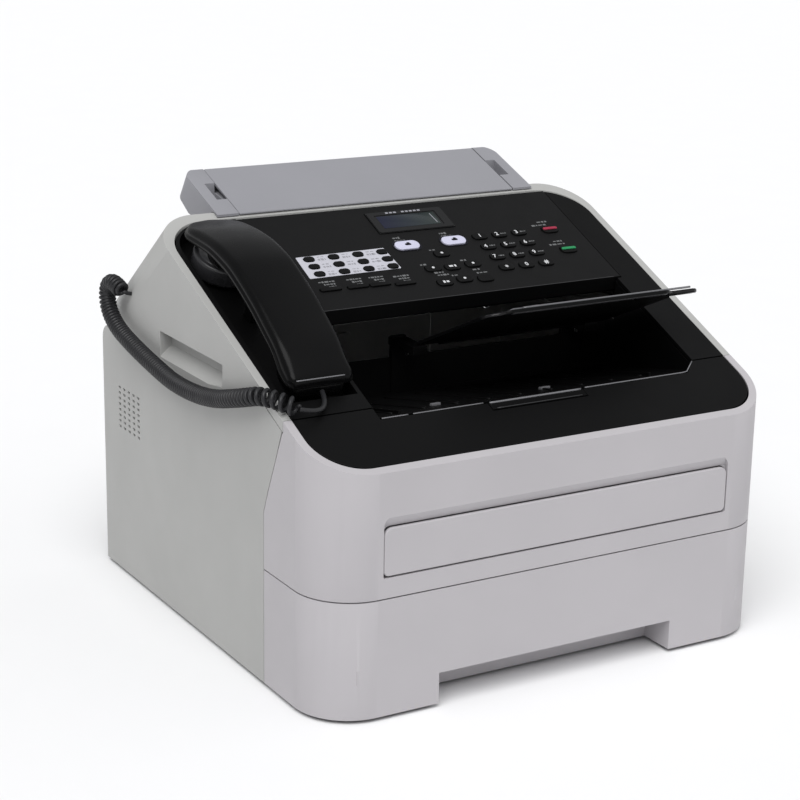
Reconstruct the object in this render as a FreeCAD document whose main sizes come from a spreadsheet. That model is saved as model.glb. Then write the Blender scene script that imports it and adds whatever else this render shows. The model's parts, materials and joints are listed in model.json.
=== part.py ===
import FreeCAD, Part
import math
import os
import re

# Office laser fax machine with handset.  X right, front at -Y, Z up, millimetres.
# Origin: centre of the footprint, on the surface the feet stand on.

VALUES = {
    "body_w": 368.0, "body_d": 360.0, "wall_t": 3.0, "ground_gap": 3.0,
    "slope_deg": 23.8, "corner_r": 40.0, "panel_corner_r": 33.0, "slope_fillet": 35.0,
    "panel_w": 356.0, "black_t": 2.5,
    "cassette_h": 82.1, "front_cover_z": 86.1, "front_cover_h": 120.0,
    "grip_hole_w": 192.4, "grip_hole_h": 25.0, "grip_hole_d": 28.0,
    "flap_w": 279.6, "flap_h": 33.0, "flap_t": 3.0, "flap_hole_w": 280.8, "flap_hole_h": 41.9,
    "cavity_l": 117.5, "cavity_r": 149.0, "tray_t": 2.5,
    "console_w": 270.2, "console_l": 117.0, "console_h": 12.0, "console_base_t": 1.6,
    "cradle_w": 53.5, "cradle_l": 204.0, "cradle_deep": 12.5,
    "handset_w": 50.0, "ear_cup_d": 48.0, "dial_w": 12.6, "dial_l": 7.4, "round_key_w": 14.2, "round_key_l": 9.0,
    "oval_w": 8.6, "oval_l": 5.6, "mode_w": 20.4, "mode_l": 10.2, "bar_key_w": 17.0, "bar_key_l": 4.0,
    "arrow_w": 13.0, "arrow_l": 8.0, "key_h": 7.4, "key_clear": 0.45,
    "lcd_w": 66.0, "lcd_l": 26.4, "lcd_t": 2.0,
    "support_w": 169.2, "support_l": 109.5, "support_t": 2.4,
    "cover_w": 239.2, "arm_w": 17.3, "doc_w": 275.0,
    "stop_flap_w": 77.6, "stop_flap_l": 6.9,
    "frame_t": 6.0, "frame_l": 312.0, "frame_h": 116.0, "deck_t": 3.0, "rail_w": 22.0, "rail_t": 5.6,
    "tray_w": 316.0, "tray_l": 300.0, "tray_h": 28.0, "tray_wall": 2.5,
    "lift_w": 210.0, "lift_l": 175.0, "lift_t": 1.5,
    "rear_w": 361.4, "rear_h": 192.0, "fuser_cover_w": 219.0, "fuser_cover_h": 74.0,
    "foot_d": 16.0, "foot_h": 4.0, "screw_d": 7.0, "screw_h": 1.8,
    "fuser_w": 250.0, "heat_d": 22.0, "press_d": 24.0, "roller_l": 232.0,
    "drum_w": 296.0, "toner_w": 268.0, "scanner_w": 220.0, "motor_d": 44.0, "gear_d": 20.0,
    "board_l": 160.0, "board_h": 92.0, "board_t": 1.6, "speaker_d": 28.0, "speaker_h": 14.0,
    "pickup_d": 22.0, "pickup_l": 50.0, "adf_d": 16.0, "adf_l": 56.0, "hook_w": 8.0, "hook_h": 15.0,
    "coil_d": 13.0, "lead_d": 3.4, "speaker_slot_l": 4.6, "speaker_slot_h": 2.0,
}

SLOPE = math.radians(VALUES["slope_deg"])
SLOPE_START = (-180.0, 171.79)
HALF_W = VALUES["body_w"] / 2
HALF_D = VALUES["body_d"] / 2
WALL = VALUES["wall_t"]
KEY_TOP = 1.2
CONSOLE_X = -117.6
CONSOLE_V = 167.4
SHEET = "Dims"

V = FreeCAD.Vector
doc = FreeCAD.newDocument("fax_machine")
NODES = []


def fill_sheet():
    sheet = doc.addObject("Spreadsheet::Sheet", SHEET)
    for row, (alias, value) in enumerate(VALUES.items(), start=1):
        sheet.set("A%d" % row, alias)
        sheet.set("B%d" % row, str(value))
        sheet.setAlias("B%d" % row, alias)
    doc.recompute()


def expression(text):
    def swap(match):
        word = match.group(0)
        return SHEET + "." + word if word in VALUES else word
    return re.sub(r"[a-z][a-z_]*", swap, text)


def bind(item, prop, size):
    if isinstance(size, str):
        item.setExpression(prop, expression(size))
    else:
        setattr(item, prop, size)


def slope_z(y):
    return SLOPE_START[1] + (y - SLOPE_START[0]) * math.tan(SLOPE)


def slope_frame(x=0.0, v=0.0, w=0.0):
    turn = FreeCAD.Rotation(V(1, 0, 0), VALUES["slope_deg"])
    base = FreeCAD.Placement(V(0, SLOPE_START[0], SLOPE_START[1]), turn)
    return base.multiply(FreeCAD.Placement(V(x, v, w), FreeCAD.Rotation()))


def level(x=0.0, y=0.0, z=0.0):
    return FreeCAD.Placement(V(x, y, z), FreeCAD.Rotation())


def box(sizes, place):
    item = doc.addObject("Part::Box", "block")
    for prop, size in zip(("Length", "Width", "Height"), sizes):
        bind(item, prop, size)
    item.Placement = place
    return item


def rod(diameter, height, place, axis="z"):
    item = doc.addObject("Part::Cylinder", "rod")
    bind(item, "Radius", diameter + "/2" if isinstance(diameter, str) else diameter / 2)
    bind(item, "Height", height)
    if axis == "x":
        place = place.multiply(FreeCAD.Placement(V(), FreeCAD.Rotation(V(0, 1, 0), 90)))
    if axis == "y":
        place = place.multiply(FreeCAD.Placement(V(), FreeCAD.Rotation(V(1, 0, 0), -90)))
    item.Placement = place
    return item


def join(*items):
    item = doc.addObject("Part::MultiFuse", "join")
    item.Shapes = list(items)
    item.Refine = True
    return item


def cut(base, *tools):
    item = doc.addObject("Part::Cut", "cut")
    item.Base = base
    item.Tool = tools[0] if len(tools) == 1 else join(*tools)
    item.Refine = True
    return item


def group(*items):
    item = doc.addObject("Part::Compound", "set")
    item.Links = list(items)
    return item


def node(name, item):
    item.Label = name
    NODES.append(item)
    return item


def arc_through(a, b, c):
    return Part.Arc(V(a[0], a[1], 0), V(b[0], b[1], 0), V(c[0], c[1], 0))


def outline_edges(points):
    """Closed outline; a corner given as (x, y, r) is rounded with radius r."""
    count = len(points)
    starts = []
    ends = []
    arcs = []
    for i, point in enumerate(points):
        here = V(point[0], point[1], 0)
        if len(point) == 2:
            starts.append(here)
            ends.append(here)
            arcs.append(None)
            continue
        before = V(points[i - 1][0], points[i - 1][1], 0)
        after = V(points[(i + 1) % count][0], points[(i + 1) % count][1], 0)
        back = (before - here).normalize()
        ahead = (after - here).normalize()
        half = back.getAngle(ahead) / 2
        reach = point[2] / math.tan(half)
        first = here + back * reach
        last = here + ahead * reach
        middle = (back + ahead).normalize()
        crown = here + middle * (point[2] / math.sin(half) - point[2])
        starts.append(first)
        ends.append(last)
        arcs.append(Part.Arc(first, crown, last))
    edges = []
    for i in range(count):
        if arcs[i]:
            edges.append(arcs[i])
        gap = starts[(i + 1) % count] - ends[i]
        if gap.Length > 1e-6:
            edges.append(Part.LineSegment(ends[i], starts[(i + 1) % count]))
    return edges


def body_pad(plane, edges, length, place, middle=False):
    body = doc.addObject("PartDesign::Body", "body")
    sketch = body.newObject("Sketcher::SketchObject", "outline")
    origin = [f for f in body.Origin.OriginFeatures if f.Role == plane][0]
    sketch.AttachmentSupport = [(origin, "")]
    sketch.MapMode = "FlatFace"
    sketch.addGeometry(edges, False)
    pad = body.newObject("PartDesign::Pad", "pad")
    pad.Profile = sketch
    if middle:
        pad.Midplane = True
    bind(pad, "Length", length)
    body.Placement = place
    doc.recompute()
    return body


def plan(points, length, place):
    return body_pad("XY_Plane", outline_edges(points), length, place)


def side(points, length, place, middle=False):
    return body_pad("YZ_Plane", outline_edges(points), length, place, middle)


def rounded(body, radius, picks):
    names = []
    doc.recompute()
    for i, edge in enumerate(body.Shape.Edges, start=1):
        if picks(edge):
            names.append("Edge%d" % i)
    base = body.Tip
    fillet = body.newObject("PartDesign::Fillet", "fillet")
    fillet.Base = (base, names)
    bind(fillet, "Radius", radius)
    body.Tip = fillet
    doc.recompute()
    return body


def front_plan(grow, corner):
    x = HALF_W - grow
    y = -HALF_D + grow
    return [(-x, -95.4), (-x, y, corner), (x, y, corner), (x, -95.4)]


def panel_plan(front, rear, front_r, rear_r, grow=0.0):
    x = VALUES["panel_w"] / 2 - grow
    low = [(-x, front, front_r), (x, front, front_r)] if front_r else [(-x, front), (x, front)]
    high = [(x, rear, rear_r), (-x, rear, rear_r)] if rear_r else [(x, rear), (-x, rear)]
    return low + high


# ---------------------------------------------------------------- fixed lower body

def make_base_frame():
    walls = [box(("frame_t", "frame_l", "frame_h"), level(x, -140, 4)) for x in (-178, 172)]
    rails = [box(("rail_w", "frame_l", "rail_t"), level(x, -140, 4)) for x in (-172, 150)]
    deck = box(("body_w-24", "frame_l", "deck_t"), level(-172, -140, 64))
    beam = box((200, 12, 60), level(-100, 160, 4))
    beam_foot = box((344, 12, "rail_t"), level(-172, 160, 4))
    lugs = [box((4, 12, 20), level(x, -106, 45)) for x in (-30, 26)]
    node("base_frame", join(*walls, *rails, deck, beam, beam_foot, *lugs))


def make_rubber_feet():
    spots = [(-164, -126), (164, -126), (-164, 160), (164, 160)]
    node("rubber_feet", group(*[rod("foot_d", "foot_h", level(x, y, 0)) for x, y in spots]))


SIDE_OUTLINE = [(-94.8, 3), (-94.8, 126.4), (-101.9, 144.4), (-112.4, 168.0), (-121.0, 189.2),
                (-92.0, 202.4), (0, 180.8, 60), (62, 180.8, 60), (160, 194.4), (180, 194.4, 12), (180, 3)]


def side_skin(x):
    return side(SIDE_OUTLINE, "wall_t", level(x, 0, 0))


def make_left_side_cover():
    slots = []
    a = VALUES["speaker_slot_l"] / 2
    b = VALUES["speaker_slot_h"] / 2
    for column in range(5):
        for row in range(8):
            y = 148.5 - 8.8 * column
            z = 150.6 - 4.43 * row
            slots += outline_edges([(y - a, z - b, 0.98), (y + a, z - b, 0.98), (y + a, z + b, 0.98),
                                    (y - a, z + b, 0.98)])
    holes = body_pad("YZ_Plane", slots, "wall_t*3", level(-187, 0, 0))
    node("left_side_cover", cut(side_skin(-HALF_W), holes))


def make_right_side_cover():
    node("right_side_cover", side_skin(HALF_W - WALL))


SCREW_SPOTS = [(-166, 30), (166, 60), (-166, 172), (166, 172)]


def make_rear_cover():
    wall = [(180, 3), (180, 194.4, 12), (160, 194.4), (160, 191.6), (177, 191.6, 9), (177, 3)]
    skin = side(wall, "rear_w", level(), middle=True)
    door = box(("fuser_cover_w+1.2", 8, "fuser_cover_h+1.2"), level(-110.1, 174, 94.9))
    inlet = box((32, 8, 27), level(109, 174, 18.5))
    jacks = box((44, 8, 20), level(-169, 174, 123))
    screws = [rod(8.0, 8, level(x, 174, z), "y") for x, z in SCREW_SPOTS]
    node("rear_cover", cut(skin, door, inlet, jacks, *screws))


def make_cover_screws():
    heads = [rod("screw_d", "screw_h", level(x, 177.6, z), "y") for x, z in SCREW_SPOTS]
    node("cover_screws", group(*heads))


def make_fuser_cover():
    plate = box(("fuser_cover_w", "wall_t", "fuser_cover_h"), level(-109.5, 177, 95.5))
    lip = box((60, 5, 3), level(-30, 172.3, 160))
    node("fuser_cover", join(plate, lip))


def make_power_inlet():
    shell = box((30, 20, 25), level(110, 159, 19.5))
    well = box((24, 16, 18), level(113, 166, 23))
    pins = [box((2, 12, 5), level(x, 162, 29)) for x in (118, 124, 130)]
    node("power_inlet", join(cut(shell, well), *pins))


def make_line_jacks():
    shell = box((42, 16, 18), level(-168, 163, 124))
    wells = [box((12, 14, 9), level(x, 167, 128)) for x in (-164, -145)]
    node("line_jacks", cut(shell, *wells))


# ---------------------------------------------------------------- upper body

def make_upper_cover():
    outer = [(-122.6, slope_z(-122.6)), (90.6, slope_z(90.6)), (172, 227.5), (172, 120), (-122.6, 120)]
    below = [(190, 195.0), (160, 195.0), (62, 181.5, 60), (0, 181.5, 60), (-91.9, 203.1), (-121.2, 190.0),
             (-150, 178), (-150, 100), (190, 100)]
    inner = [(-126, slope_z(-126) - 3.3), (89.4, slope_z(89.4) - 3.3), (169, 225.2), (169, 110), (-126, 110)]

    def slanted(edge):
        point = edge.CenterOfMass
        return edge.Length > 60 and 100 < point.y < 160 and point.z > 230 and abs(point.x) > 170
    shell_out = rounded(side(outer, "body_w", level(), middle=True), "slope_fillet", slanted)
    shell_in = rounded(side(inner, "body_w-2*wall_t", level(), middle=True), "slope_fillet-wall_t", slanted)
    hole = plan(panel_plan(-130, 82.4, 0, 33), 200, level(0, 0, 150))
    shell = cut(shell_out, shell_in, hole, side(below, "body_w+20", level(), middle=True))
    liners = [box((13, 110, 25.2), level(x, -36, 190.3)) for x in (-182, 169)]
    pocket = [(71, 192.8), (-6, 192.8), (-33, 196.6), (-33, 212.5), (71, 212.5)]
    ramps = [[(-184.2, 190), (-184.2, 193.2), (-174.5, 201.5), (-174.5, 190)],
             [(184.2, 190), (184.2, 193.2), (174.5, 201.5), (174.5, 190)]]
    grips = []
    for x, ramp in zip((-187, 174.5), ramps):
        grips.append(cut(side(pocket, 12.5, level(x, 0, 0)),
                         body_pad("XZ_Plane", outline_edges(ramp), 120, level(0, 80, 0))))
    node("upper_cover", cut(join(shell, *liners), *grips))


CRADLE_X = -174.0
CRADLE_V = 78.5


def make_deck_panel():
    sheet = plan(panel_plan(62.8, 285.3, 0, 36, 0.3), "black_t", slope_frame(0, 0, -VALUES["black_t"]))
    tub = box(("cradle_w+4.3", "cradle_l+5", "cradle_deep"), slope_frame(-176.5, 76, -15))
    bridge = box((353, 113, "black_t"), slope_frame(-176.5, 172, -17))
    web = box((2.5, 119.4, 17), slope_frame(153.1, 165.6, -17))
    shape = join(sheet, tub, bridge, web)
    clip = plan(panel_plan(40, 285.3, 0, 36, 0.3), 40, slope_frame(0, 0, -30))
    common = doc.addObject("Part::Common", "common")
    common.Base = shape
    common.Tool = clip
    right = CRADLE_X + VALUES["cradle_w"]
    rear = CRADLE_V + VALUES["cradle_l"]
    corners = [(CRADLE_X, CRADLE_V), (right, CRADLE_V), (right, rear), (CRADLE_X, rear, 30)]
    well = plan(corners, "cradle_deep+4", slope_frame(0, 0, -VALUES["cradle_deep"]))
    console = box(("console_w+0.9", 130, 20), slope_frame(CONSOLE_X - 0.4, CONSOLE_V - 1.8, -14.4))
    cavity = box(("cavity_l+cavity_r", 107, 12), slope_frame(-117.5, 61, -11))
    hook = box(("hook_w+1", 11, 12), slope_frame(-152.5, 179.5, -20))
    roller = box(("adf_l+4", 20, 8), slope_frame(-30, 225, -20))
    lamp = box((230, 12, 8), slope_frame(-112, 252, -20))
    node("deck_panel", cut(common, well, console, cavity, hook, roller, lamp))


TRAY_X = -118.2


def make_output_tray():
    floor = [(-122.2, 186.6), (-122.2, 189.1), (20, 158.0), (20, 155.5)]
    cheek = [(-122.2, 186.6), (-122.2, 193.2), (-26, slope_z(-26) - 4), (-26, 205), (20, 205), (20, 155.5)]
    width = "cavity_l+cavity_r+3.2"
    base = side(floor, width, level(TRAY_X, 0, 0))
    cheeks = [side(cheek, "tray_t", level(x, 0, 0)) for x in (TRAY_X, 149)]
    back = box((width, "tray_t", 30), level(TRAY_X, 17.5, 155.7))
    post = [box((12, 36, 6), level(x, -14.5, 195)) for x in (-22, 131)]
    stem = [box((12, 4, 45), level(x, 16, 157)) for x in (-22, 131)]
    ribs = [box((2.0, 60, 4), level(x, -100, 0)) for x in (-94.5, 114.3)]
    for rib, x in zip(ribs, (-94.5, 114.3)):
        tilt = FreeCAD.Rotation(V(1, 0, 0), -12.33)
        rib.Placement = FreeCAD.Placement(V(x, -118, 186.6), tilt)
    node("output_tray", join(base, *cheeks, back, *post, *stem, *ribs))


DOCUMENT_X = 6.0


def make_document_frame():
    arm = [(83.4, 288.9), (83.4, 290.6), (146.2, 313.9, 3), (157, 298.2, 1.5), (155.8, 295.2),
           (134, 283.0), (108, 279.6), (98.0, 288.4), (92.5, 291.2), (90.6, 291.7)]
    low = [(91.4, 291.2), (92.0, 291.8), (102, 294.2), (138.4, 300.5), (147.7, 306.4), (147.7, 311.7),
           (157, 298.2, 1.5), (155.8, 295.2), (134, 283.0), (108, 279.6), (98.0, 288.4)]
    arms = [side(arm, "arm_w", level(x, 0, 0)) for x in (-131.5, 126.2)]
    notches = [box((8.5, 22, 14), level(x, 103, 294)) for x in (-122.5, 126)]
    tray = side(low, "doc_w-4", level(DOCUMENT_X, 0, 0), middle=True)
    corners = [(-131.5, -80), (143.5, -80), (143.5, 0, 13), (-131.5, 0, 13)]
    lean = FreeCAD.Rotation(V(1, 0, 0), 34.5)
    clip = plan(corners, 90, FreeCAD.Placement(V(0, 146.3, 313.9), lean).multiply(level(0, 0, -70)))
    frame = doc.addObject("Part::Common", "common")
    frame.Base = join(*arms, tray)
    frame.Tool = clip
    node("document_frame", cut(frame, *notches))


def make_document_cover():
    plate = [(83.4, 288.9), (83.4, 290.6), (145.0, 313.4), (145.8, 310.9), (140.4, 308.2), (90.6, 291.95)]
    node("document_cover", side(plate, "cover_w", level(DOCUMENT_X, 0, 0), middle=True))


# ---------------------------------------------------------------- inner units

def make_drum_unit():
    shell = box(("drum_w", 110, 38), level(-148, -120, 70))
    well = box(("toner_w+2", 58, 30), level(-135, -118, 84))
    slot = box(("toner_w", 30, 30), level(-134, -52, 62))
    roll = rod(24.0, "toner_w-2", level(-133, -36, 84), "x")
    node("drum_unit", join(cut(shell, well, slot), roll))


def make_toner_cartridge():
    tank = box(("toner_w", 56, 26), level(-134, -117, 85))
    grip = box((70, 10, 6), level(-35, -116, 110.5))
    node("toner_cartridge", join(tank, grip))


def make_laser_scanner_unit():
    tub = box(("scanner_w", 96, 28), level(-110, -88, 119))
    lid = box(("scanner_w-8", 88, 3), level(-106, -84, 146.5))
    motor = rod(36.0, 4, level(30, -30, 148.5))
    node("laser_scanner_unit", join(tub, lid, motor))


def make_fuser_frame():
    shell = box(("fuser_w", 72, 56), level(-125, 98, 68))
    well = box(("roller_l+4", 70, 54), level(-118, 108, 66))
    node("fuser_frame", cut(shell, well))


def make_heat_roller():
    tube = rod("heat_d", "roller_l-8", level(-112, 140, 106), "x")
    pin = rod(9.0, "roller_l", level(-116, 140, 106), "x")
    node("heat_roller", join(tube, pin))


def make_pressure_roller():
    tube = rod("press_d", "roller_l-8", level(-112, 140, 82.4), "x")
    pin = rod(9.0, "roller_l", level(-116, 140, 82.4), "x")
    node("pressure_roller", join(tube, pin))


def make_main_motor():
    can = rod("motor_d", 19, level(152, 60, 98), "x")
    plate = box((1.5, 60, 56), level(170.4, 30, 70))
    node("main_motor", join(can, plate))


def make_drive_gear():
    wheel = rod("gear_d", 8, level(143, 60, 98), "x")
    teeth = []
    for i in range(16):
        turn = FreeCAD.Rotation(V(1, 0, 0), i * 22.5)
        base = FreeCAD.Placement(V(143, 60, 98), turn)
        teeth.append(box((8, 2.0, 11.4), base.multiply(level(0, -1.0, 0))))
    node("drive_gear", join(wheel, *teeth))


def make_main_board():
    board = box(("board_t", "board_l", "board_h"), level(-167.5, -60, 70))
    chips = [box((4, 22, 22), level(-166, y, z)) for y, z in ((-40, 90), (0, 90), (40, 120))]
    stand = box((4.5, 20, 4), level(-171.6, 0, 84))
    node("main_board", join(board, *chips, stand))


def make_speaker():
    cone = rod("speaker_d", "speaker_h*0.4", level(-180.8, 131, 135), "x")
    magnet = rod("speaker_d*0.5", "speaker_h", level(-180.8, 131, 135), "x")
    node("speaker", join(cone, magnet))


def make_pickup_roller():
    tyre = rod("pickup_d", "pickup_l", level(-25, -100, 51), "x")
    node("pickup_roller", tyre)


def make_adf_feed_roller():
    node("adf_feed_roller", rod("adf_d", "adf_l", slope_frame(-28, 235, -21), "x"))


def make_hook_switch():
    node("hook_switch", box(("hook_w", 10, "hook_h"), slope_frame(-152, 180, -14)))


# ---------------------------------------------------------------- control panel

DIAL = [("1", 63.9, 233.8), ("2", 81.7, 233.8), ("3", 99.5, 233.8),
        ("4", 64.2, 220.4), ("5", 82.0, 220.4), ("6", 99.8, 220.4),
        ("7", 64.5, 207.0), ("8", 82.3, 207.0), ("9", 100.1, 207.0),
        ("star", 64.8, 193.4), ("0", 82.6, 193.4), ("hash", 100.4, 193.4)]
ONE_TOUCH = [(-85.4 + 20.2 * i, 227.6 - 9.1 * j) for j in range(3) for i in range(4)]
BAR_KEYS = [(-85.5, 191.0), (-63.5, 190.6), (-45.5, 190.2), (-25.5, 188.2)]
MODE_KEYS = [(-0.8, 232.2), (39.8, 232.2)]
ARROWS = [(21.4, 218.0), (5.0, 201.6), (39.7, 201.8), (23.3, 185.3)]
SMALL_KEYS = [(21.4, 201.0), (5.6, 183.8), (40.4, 183.2)]


def pill(x, v, width, length, w, height, grow=0.0):
    a = width / 2 + grow
    b = length / 2 + grow
    corner = min(a, b) * 0.96
    points = [(x - a, v - b, corner), (x + a, v - b, corner), (x + a, v + b, corner), (x - a, v + b, corner)]
    return plan(points, height, slope_frame(0, 0, w))


def key_list():
    d = VALUES
    keys = [(x, v, d["dial_w"], d["dial_l"]) for _, x, v in DIAL]
    keys += [(x, v, d["oval_w"], d["oval_l"]) for x, v in ONE_TOUCH]
    keys += [(x, v, d["bar_key_w"], d["bar_key_l"]) for x, v in BAR_KEYS]
    keys += [(x, v, d["mode_w"], d["mode_l"]) for x, v in MODE_KEYS]
    keys += [(x, v, d["arrow_w"], d["arrow_l"]) for x, v in ARROWS + SMALL_KEYS]
    keys += [(128.0, 233.6, d["round_key_w"], d["round_key_l"]), (129.0, 206.6, d["round_key_w"], d["round_key_l"])]
    return keys


def make_control_panel():
    slab = box(("console_w", "console_l", "console_h"), slope_frame(CONSOLE_X, CONSOLE_V, -VALUES["console_h"]))
    well = box(("console_w-5", "console_l-5", "console_h"),
               slope_frame(CONSOLE_X + 2.5, CONSOLE_V + 2.5, -VALUES["console_h"] - 2.5))
    screen = box(("lcd_w+0.8", "lcd_l+0.8", 6), slope_frame(-15.4, 249.2, -4))
    holes = [pill(x, v, a, b, -5, 8, VALUES["key_clear"]) for x, v, a, b in key_list()]
    node("control_panel", cut(slab, well, screen, *holes))


def make_panel_base():
    plate = box(("console_w-5.4", "console_l-5.4", "console_base_t"),
                slope_frame(CONSOLE_X + 2.7, CONSOLE_V + 2.7, -VALUES["console_h"]))
    board = box(("console_w-30", "console_l-40", "console_base_t"), slope_frame(CONSOLE_X + 15, CONSOLE_V + 12, -9.2))
    posts = [rod(5.0, 2.0, slope_frame(x, v, -10.9)) for x in (-100, 130) for v in (185, 240)]
    node("panel_base", join(plate, board, *posts))


def make_lcd_window():
    glass = box(("lcd_w", "lcd_l", "lcd_t"), slope_frame(-15, 249.6, -1.4))
    module = box(("lcd_w-8", "lcd_l-6", 5), slope_frame(-11, 252.6, -6.2))
    node("lcd_window", join(glass, module))


def key_cap(x, v, width, length):
    return pill(x, v, VALUES[width], VALUES[length], KEY_TOP - VALUES["key_h"], "key_h")


def make_dial_keys():
    for label, x, v in DIAL:
        node("dial_key_" + label, key_cap(x, v, "dial_w", "dial_l"))


def make_key_groups():
    caps = [key_cap(x, v, "oval_w", "oval_l") for x, v in ONE_TOUCH]
    bars = [key_cap(x, v, "bar_key_w", "bar_key_l") for x, v in BAR_KEYS]
    node("one_touch_keys", group(*caps, *bars))
    node("mode_keys", group(*[key_cap(x, v, "mode_w", "mode_l") for x, v in MODE_KEYS]))
    node("navigation_keys", group(*[key_cap(x, v, "arrow_w", "arrow_l") for x, v in ARROWS + SMALL_KEYS]))


def make_stop_and_start():
    node("stop_key", key_cap(128.0, 233.6, "round_key_w", "round_key_l"))
    node("start_key", key_cap(129.0, 206.6, "round_key_w", "round_key_l"))


def make_document_support():
    points = [(-23.8, 0), (-23.8, -96, 8), (-8, -109.5, 8), (128, -109.5, 10), (145.4, -84, 10), (145.4, 0)]
    tilt = FreeCAD.Placement(V(0, -20, 203.8), FreeCAD.Rotation(V(1, 0, 0), -24.1))
    plate = plan(points, "support_t", tilt)
    knuckle = rod(4.8, "support_w-40", level(-3.8, -20.4, 205.2), "x")
    tab = plan([(138, -92), (160, -92, 2), (160, -98, 2), (120, -98)], "support_t", tilt)
    node("document_support", join(plate, knuckle, tab))


# ---------------------------------------------------------------- front cover and cassette

SEAM = [(-95.4, 60), (-95.4, 126.3), (-102.5, 144.1), (-113.1, 167.8), (-121.9, 188.0), (-123.2, 189.2),
        (-123.2, 240), (-40, 240), (-40, 60)]


def make_front_cover():
    outer = plan(front_plan(0, 40), "front_cover_h", level(0, 0, VALUES["front_cover_z"]))
    inner = plan(front_plan(WALL, 37), "front_cover_h", level(0, 0, VALUES["front_cover_z"] - 10))
    top_cut = box((400, 120, 80), slope_frame(-200, -20, 0))
    core = cut(inner, box((400, 120, 80), slope_frame(-200, -20, -3)))
    strip = plan(panel_plan(-174.3, -90, 33, 0), 120, level(0, 0, 140))
    behind = side(SEAM, "body_w+20", level(), middle=True)
    shell = cut(outer, core, top_cut, strip, behind)
    liner = box(("flap_hole_w+6", 14, 54), level(-143.4, -177.5, 96))
    half = VALUES["flap_hole_w"] / 2
    top = 99.9 + VALUES["flap_hole_h"]
    mouth = [(-half, 99.9, 1.2), (-half, 134.6, 6), (half, 134.6, 6), (half, 99.9, 1.2)]
    hollow = body_pad("XZ_Plane", outline_edges(mouth), 16, level(0, -166, 0))
    dip = [(-half, 99.9, 1.2), (-half, top, 7), (half, top, 7), (half, 99.9, 1.2)]
    ramp = side([(-180.3, top), (-176.9, 134.5), (-176.9, top)], 300, level(), middle=True)
    scoop = cut(body_pad("XZ_Plane", outline_edges(dip), 5.1, level(0, -176.9, 0)), ramp)
    slot = box((220, 8, 5), level(-110, -168, 118))
    lugs = [box((6, 10, 8), level(x, -177.5, 87)) for x in (-150, 144)]
    node("front_cover", cut(join(shell, liner, *lugs), hollow, scoop, slot))


def make_front_strip():
    x = VALUES["panel_w"] / 2 - 0.3
    points = [(-x, 62.0), (-x, 6.6, 36), (x, 6.6, 36), (x, 62.0), (149, 62.0), (136.5, 50.4), (-117.5, 50.4),
              (-117.5, 62.0)]
    plate = plan(points, "black_t", slope_frame(0, 0, -VALUES["black_t"]))
    skirt = box((250, 2.2, 12), slope_frame(-115, 40.1, -13))
    notch = box(("stop_flap_w+1.0", 9, 6), slope_frame(-34.0, 42.3, -4))
    node("front_strip", cut(join(plate, skirt), notch))


def make_stop_flap():
    plate = box(("stop_flap_w", "stop_flap_l", "black_t"), slope_frame(-33.5, 43.3, -VALUES["black_t"]))
    node("stop_flap", plate)


FLAP_FOOT = 101.0


def make_manual_feed_flap():
    top = FLAP_FOOT + VALUES["flap_h"]
    half = VALUES["flap_w"] / 2
    points = [(-half, FLAP_FOOT, 3.5), (-half, top, 6), (half, top, 6), (half, FLAP_FOOT, 3.5)]
    plate = body_pad("XZ_Plane", outline_edges(points), "flap_t", level(0, -177, 0))
    node("manual_feed_flap", plate)


def make_cassette_tray():
    outer = plan(front_plan(0, 40), "cassette_h", level(0, 0, VALUES["ground_gap"]))
    inner = plan([(p[0], -90) if len(p) == 2 else p for p in front_plan(WALL, 37)], 100, level(0, 0, -2))
    pocket = box(("grip_hole_w+6", 28.5, 25), level(-99.2, -177.5, 3))
    body = box(("tray_w", "tray_l", "tray_h"), level(-158, -150, 10))
    bridge = box(("tray_w", 34, 10), level(-158, -178, 28))
    well = box(("tray_w-2*tray_wall", 267, "tray_h"), level(-155.5, -120, 12.5))
    hand = box(("grip_hole_w", "grip_hole_d+5", "grip_hole_h+1"), level(-96.2, -185, -1))
    node("cassette_tray", cut(join(cut(outer, inner), pocket, body, bridge), well, hand))


def make_lift_plate():
    node("lift_plate", box(("lift_w", "lift_l", "lift_t"), level(-105, -115, 14)))


def make_length_guide():
    foot = box((40, 24, 3), level(-20, 96, 13))
    blade = box((40, 3, 25), level(-20, 96, 13))
    node("length_guide", join(foot, blade))


# ---------------------------------------------------------------- handset and cord

HANDSET_X = -171.5
BACK = [(84, 7), (85, 12.3), (96, 18), (112, 23.9), (133, 28), (154, 31.5), (187, 34), (205, 32.5), (223, 28.8),
        (245, 21.5), (262, 14), (277, 7)]
UNDER = [(98, 7), (112, 13.6), (133, 18), (154, 21.5), (187, 23.6), (223, 18.5), (245, 11), (262, 7)]
EAR_CUP = (-146.5, 239.0)


def in_handset_plan(item):
    right = HANDSET_X + VALUES["handset_w"]
    corners = [(HANDSET_X, 82.5, 8), (right, 82.5, 8), (right, 279, 18), (HANDSET_X, 279, 26)]
    rounded_item = doc.addObject("Part::Common", "common")
    rounded_item.Base = item
    rounded_item.Tool = plan(corners, 60, slope_frame(0, 0, -20))
    return rounded_item


def spline(points):
    curve = Part.BSplineCurve()
    curve.interpolate([V(v, w, 0) for v, w in points])
    return curve


def straight(a, b):
    return Part.LineSegment(V(a[0], a[1], 0), V(b[0], b[1], 0))


def make_handset_back():
    edges = [spline(BACK), straight(BACK[-1], UNDER[-1]), spline(UNDER), straight(UNDER[0], BACK[0])]
    strap = body_pad("YZ_Plane", edges, "handset_w", slope_frame(HANDSET_X, 0, 0))
    node("handset_back", in_handset_plan(strap))


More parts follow.
